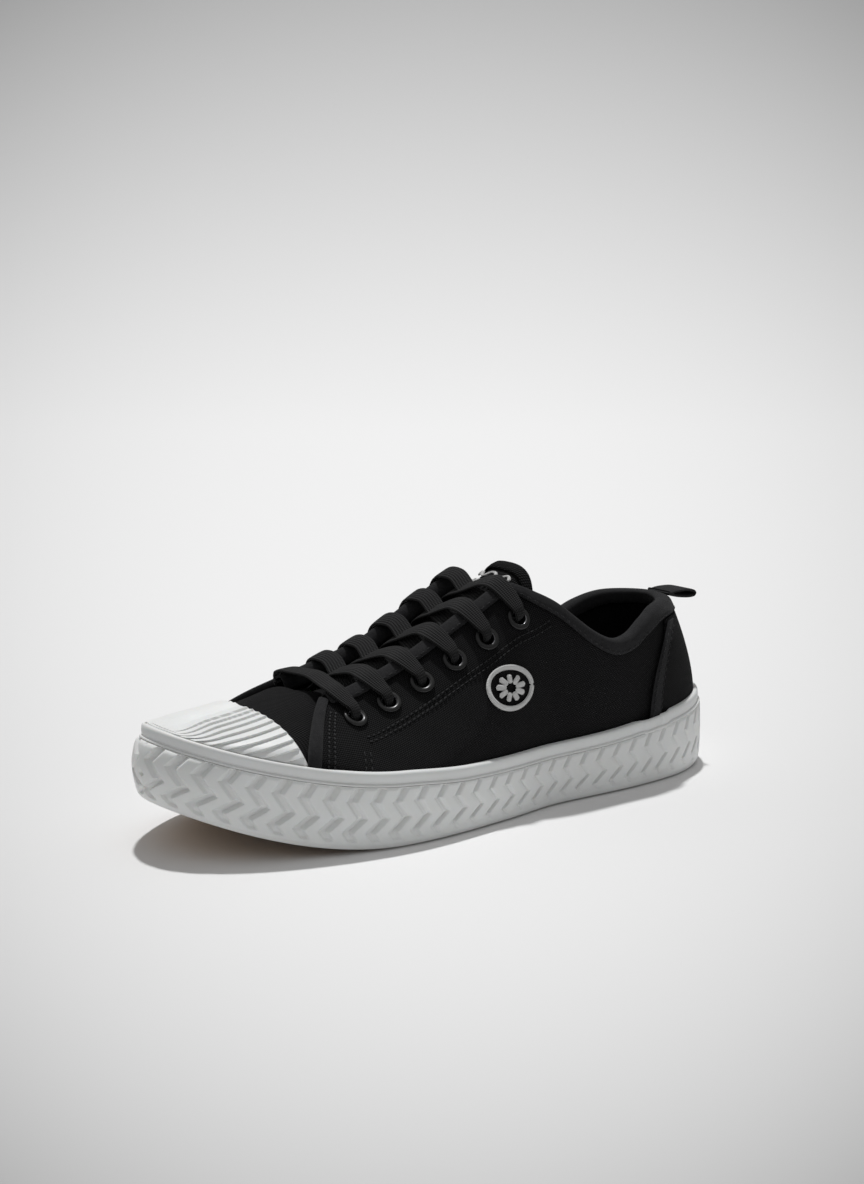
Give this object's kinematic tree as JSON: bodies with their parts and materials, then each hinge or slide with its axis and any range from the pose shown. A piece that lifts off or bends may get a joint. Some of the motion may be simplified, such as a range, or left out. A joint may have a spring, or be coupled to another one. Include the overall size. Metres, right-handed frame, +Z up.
{
  "type": "low-top canvas cheer shoe",
  "caption": "Low-cut canvas lace-up shoe for cheerleading and gymnastics, with a white rubber sole wall, ribbed toe cap, padded tongue, criss-crossed flat lace and heel pull tab.",
  "frame": {"origin": "on the ground, under the middle of the sole's length and on its centre line", "axes": "-Y towards the toe, +X towards the outer (lateral) side of this left shoe, +Z up"},
  "size_m": [0.096, 0.2621, 0.0922],
  "materials": {
    "canvas": "matte plain-woven cotton canvas",
    "lining": "matte cotton twill",
    "tape": "matte felted tape",
    "lace": "matte flat braid",
    "thread": "satin thread",
    "rubber": "satin white rubber",
    "gum": "matte gum rubber",
    "foam": "matte foam",
    "board": "matte fibre board",
    "enamel": "black enamel with a bright inner edge",
    "plastic": "gloss"
  },
  "bodies": {
    "shoe": {"outsole": "gum", "midsole": "foam", "sidewall": "rubber", "foxing_band": "rubber", "insole_board": "board", "toe_cap": "rubber", "vamp": "canvas", "vamp_lining": "lining", "heel_patch": "canvas", "heel_counter": "board", "topline_binding": "tape", "lace": "lace", "aglet_lateral": "plastic", "aglet_medial": "plastic", "side_emblem": "thread", "quarter_lateral": "canvas", "lining_lateral": "lining", "facing_lateral": "lining", "heel_trim_lateral": "tape", "eyelet_lateral_1": "enamel", "eyelet_lateral_2": "enamel", "eyelet_lateral_3": "enamel", "eyelet_lateral_4": "enamel", "eyelet_lateral_5": "enamel", "eyelet_lateral_6": "enamel", "quarter_medial": "canvas", "lining_medial": "lining", "facing_medial": "lining", "heel_trim_medial": "tape", "eyelet_medial_1": "enamel", "eyelet_medial_2": "enamel", "eyelet_medial_3": "enamel", "eyelet_medial_4": "enamel", "eyelet_medial_5": "enamel", "eyelet_medial_6": "enamel"},
    "tongue": {"tongue_shell": "canvas", "tongue_foam": "foam", "tongue_lining": "lining", "tongue_binding": "tape", "tongue_label": "thread"},
    "sockliner": {"sockliner_foam": "foam", "sockliner_cover": "lining"},
    "tab": {"pull_tab": "tape"}
  },
  "joints": [
    {"name": "tongue_tilt", "type": "hinge", "parent": "shoe", "child": "tongue", "pos_m": [0, -0.0755, 0.0485], "axis": [1, 0, 0], "range_deg": [-8, 0], "stiffness_Nm_per_rad": 0.045, "springref_deg": 20.05},
    {"name": "sockliner_lift", "type": "hinge", "parent": "shoe", "child": "sockliner", "pos_m": [0, -0.1195, 0.0245], "axis": [1, 0, 0], "range_deg": [0, 3]},
    {"name": "pull_tab_flip", "type": "hinge", "parent": "shoe", "child": "tab", "pos_m": [0, 0.1152, 0.0709], "axis": [1, 0, 0], "range_deg": [-24, 40], "stiffness_Nm_per_rad": 0.003}
  ]
}
